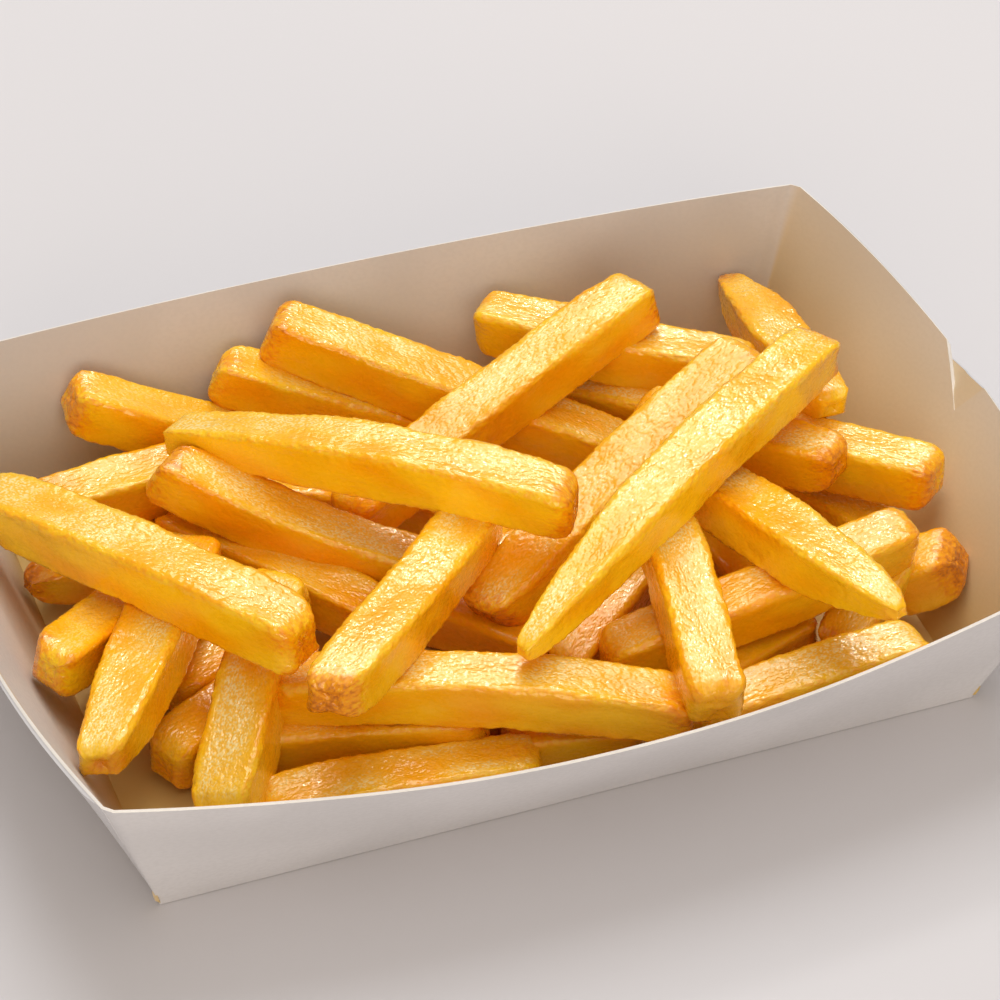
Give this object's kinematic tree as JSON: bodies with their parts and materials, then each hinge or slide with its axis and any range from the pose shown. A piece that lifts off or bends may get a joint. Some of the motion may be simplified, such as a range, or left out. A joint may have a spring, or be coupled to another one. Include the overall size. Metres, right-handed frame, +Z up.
{
  "type": "french fries in a carton",
  "caption": "Open folded paperboard tray with leaning, outward-bowed walls, heaped with thick-cut golden fries",
  "frame": {"origin": "centre of the bounding box in plan, at the underside of the carton's floor", "axes": "+X along the carton's long side, +Y across it to the wall that is at the back in the picture, +Z up"},
  "size_m": [0.19, 0.131, 0.0413],
  "materials": {
    "paperboard": "matt white folding board, warm in the light of the fries",
    "fried_potato": "golden fried potato with a thin oily sheen and browned ends"
  },
  "bodies": {
    "root": {"carton": "paperboard", "fries": "fried_potato"}
  },
  "joints": []
}
